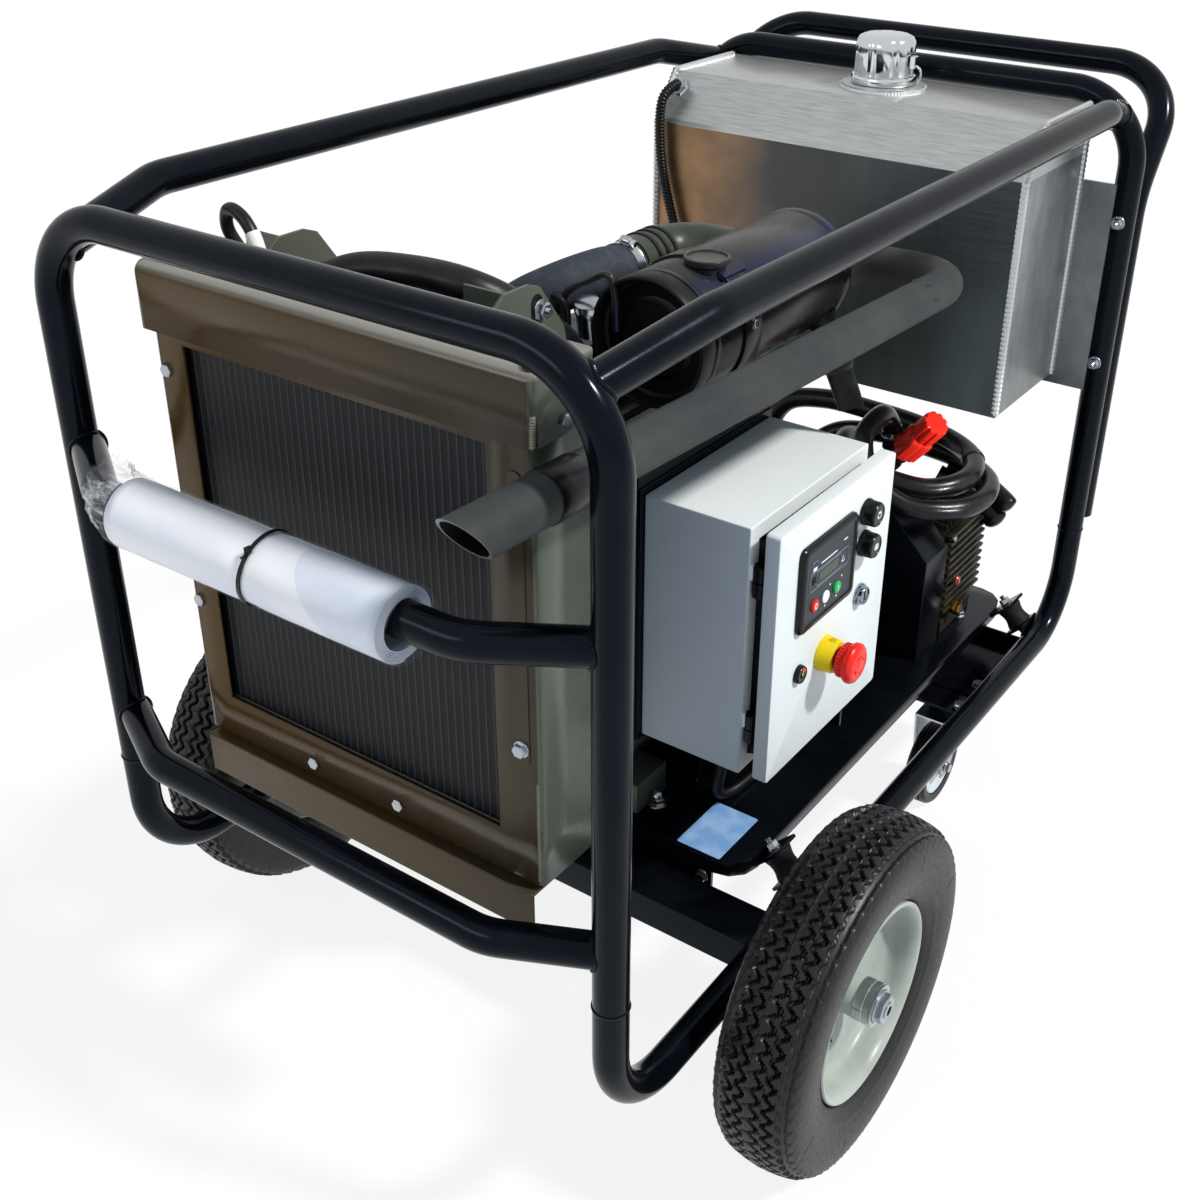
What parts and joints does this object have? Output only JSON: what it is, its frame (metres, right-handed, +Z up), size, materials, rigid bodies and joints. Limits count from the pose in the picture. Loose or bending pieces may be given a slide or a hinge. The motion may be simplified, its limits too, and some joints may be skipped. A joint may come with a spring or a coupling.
{
  "type": "pressure washer",
  "caption": "Engine-driven pressure washer in a tubular trolley frame, with radiator, fuel tank, belt-driven pump, control box with door, push handle, pneumatic wheels and swivel casters.",
  "frame": {"origin": "centre of the machine's footprint box, on the floor", "axes": "+X to the control-box side, +Y to the rear (push handle), +Z up"},
  "size_m": [0.9158, 1.3896, 1.029],
  "materials": {
    "gloss_black": "gloss",
    "satin_black": "satin",
    "tyre": "matt",
    "mount_rubber": "matt",
    "hose_rubber": "satin",
    "zinc": "satin",
    "rim_silver": "satin",
    "radiator_paint": "gloss",
    "engine_grey": "satin",
    "pipe_grey": "matt",
    "aluminium": "brushed",
    "chrome": "polished",
    "box_paint": "satin",
    "black_plastic": "matt",
    "red_plastic": "gloss",
    "green_plastic": "gloss",
    "paper": "matt",
    "core_black": "matt"
  },
  "bodies": {
    "machine": {"front_hoop": "gloss_black", "rear_hoop": "gloss_black", "bottom_rail_right": "gloss_black", "bottom_rail_left": "gloss_black", "top_rail_right": "gloss_black", "top_rail_left": "gloss_black", "front_grip_bar": "gloss_black", "lower_front_bar": "gloss_black", "push_handle": "gloss_black", "rolled_manual": "paper", "axle_beam": "gloss_black", "caster_beam": "gloss_black", "engine_tray": "gloss_black", "rubber_mount_front_right": "mount_rubber", "rubber_mount_front_left": "mount_rubber", "rubber_mount_rear_right": "mount_rubber", "rubber_mount_rear_left": "mount_rubber", "axle": "zinc", "engine_block": "engine_grey", "cylinder_head": "satin_black", "radiator_shroud": "radiator_paint", "radiator_core": "core_black", "radiator_tray": "radiator_paint", "radiator_hose": "hose_rubber", "radiator_stay_right": "engine_grey", "radiator_stay_left": "engine_grey", "air_cleaner": "satin_black", "air_cleaner_cover": "black_plastic", "intake_hose": "hose_rubber", "exhaust_pipe": "pipe_grey", "fuel_tank": "aluminium", "tank_conduit": "black_plastic", "control_box": "box_paint", "box_conduit": "black_plastic", "belt_guard": "satin_black", "drive_belt": "hose_rubber", "pump": "aluminium", "pressure_hose": "hose_rubber", "bypass_hose": "hose_rubber"},
    "wheel_left": {"tyre_left": "tyre", "wheel_rim_left": "rim_silver"},
    "wheel_right": {"tyre_right": "tyre", "wheel_rim_right": "rim_silver"},
    "caster_left": {"caster_fork_left": "zinc"},
    "caster_right": {"caster_fork_right": "zinc"},
    "caster_roller_left": {"caster_wheel_left": "tyre"},
    "caster_roller_right": {"caster_wheel_right": "tyre"},
    "fan": {"cooling_fan": "black_plastic"},
    "crank_pulley": {"drive_pulley": "zinc"},
    "pump_shaft": {"pump_pulley": "zinc"},
    "door": {"control_box_door": "box_paint", "controller": "black_plastic"},
    "start": {"start_button": "green_plastic"},
    "stop": {"stop_button": "red_plastic"},
    "estop": {"emergency_stop": "red_plastic"},
    "key": {"key_switch": "chrome"},
    "cap_upper": {"socket_cap_upper": "black_plastic"},
    "cap_lower": {"socket_cap_lower": "black_plastic"},
    "tank_cap": {"fuel_cap": "chrome"},
    "pressure_knob": {"unloader_knob": "red_plastic"}
  },
  "joints": [
    {"name": "wheel_left_spin", "type": "hinge", "parent": "machine", "child": "wheel_left", "pos_m": [-0.40185, -0.28281, 0.198], "axis": [1, 0, 0], "continuous": true},
    {"name": "wheel_right_spin", "type": "hinge", "parent": "machine", "child": "wheel_right", "pos_m": [0.40185, -0.28281, 0.198], "axis": [1, 0, 0], "continuous": true},
    {"name": "caster_left_swivel", "type": "hinge", "parent": "machine", "child": "caster_left", "pos_m": [-0.24, 0.34319, 0.15], "axis": [0, 0, 1], "continuous": true},
    {"name": "caster_left_roll", "type": "hinge", "parent": "caster_left", "child": "caster_roller_left", "pos_m": [-0.24, 0.31719, 0.06], "axis": [1, 0, 0], "continuous": true},
    {"name": "caster_right_swivel", "type": "hinge", "parent": "machine", "child": "caster_right", "pos_m": [0.24, 0.34319, 0.15], "axis": [0, 0, 1], "continuous": true},
    {"name": "caster_right_roll", "type": "hinge", "parent": "caster_right", "child": "caster_roller_right", "pos_m": [0.24, 0.31719, 0.06], "axis": [1, 0, 0], "continuous": true},
    {"name": "crank_pulley_spin", "type": "hinge", "parent": "machine", "child": "crank_pulley", "pos_m": [-0.028, 0.29969, 0.4], "axis": [0, 1, 0], "continuous": true},
    {"name": "pump_shaft_spin", "type": "hinge", "parent": "machine", "child": "pump_shaft", "pos_m": [0.15, 0.29969, 0.335], "axis": [0, 1, 0], "continuous": true},
    {"name": "fan_spin", "type": "hinge", "parent": "machine", "child": "fan", "pos_m": [-0.028, -0.36581, 0.64], "axis": [0, 1, 0], "continuous": true},
    {"name": "door_hinge", "type": "hinge", "parent": "machine", "child": "door", "pos_m": [0.2485, -0.23461, 0.531], "axis": [0, 0, -1], "range_deg": [0, 70]},
    {"name": "start_button_press", "type": "slide", "parent": "door", "child": "start", "axis": [-1, 0, 0], "range_m": [0, 0.0015], "stiffness_N_per_m": 400},
    {"name": "stop_button_press", "type": "slide", "parent": "door", "child": "stop", "axis": [-1, 0, 0], "range_m": [0, 0.0015], "stiffness_N_per_m": 400},
    {"name": "emergency_stop_press", "type": "slide", "parent": "door", "child": "estop", "axis": [-1, 0, 0], "range_m": [0, 0.004]},
    {"name": "key_turn", "type": "hinge", "parent": "door", "child": "key", "pos_m": [0.274, -0.05781, 0.53], "axis": [1, 0, 0], "range_deg": [0, 90]},
    {"name": "socket_cap_upper_turn", "type": "hinge", "parent": "door", "child": "cap_upper", "pos_m": [0.274, -0.05981, 0.633], "axis": [1, 0, 0], "range_deg": [0, 270]},
    {"name": "socket_cap_lower_turn", "type": "hinge", "parent": "door", "child": "cap_lower", "pos_m": [0.274, -0.05981, 0.595], "axis": [1, 0, 0], "range_deg": [0, 270]},
    {"name": "fuel_cap_turn", "type": "hinge", "parent": "machine", "child": "tank_cap", "pos_m": [0.008, 0.44419, 0.98], "axis": [0, 0, 1], "range_deg": [0, 270]},
    {"name": "pressure_knob_turn", "type": "hinge", "parent": "machine", "child": "pressure_knob", "pos_m": [0.146, 0.37619, 0.53], "axis": [0.6194, -0.1998, 0.7592], "range_deg": [0, 270]}
  ],
  "couplings": [
    {"joint": "pump_shaft_spin", "follows": "crank_pulley_spin", "ratio": 1.24},
    {"joint": "fan_spin", "follows": "crank_pulley_spin", "ratio": 1.2}
  ]
}
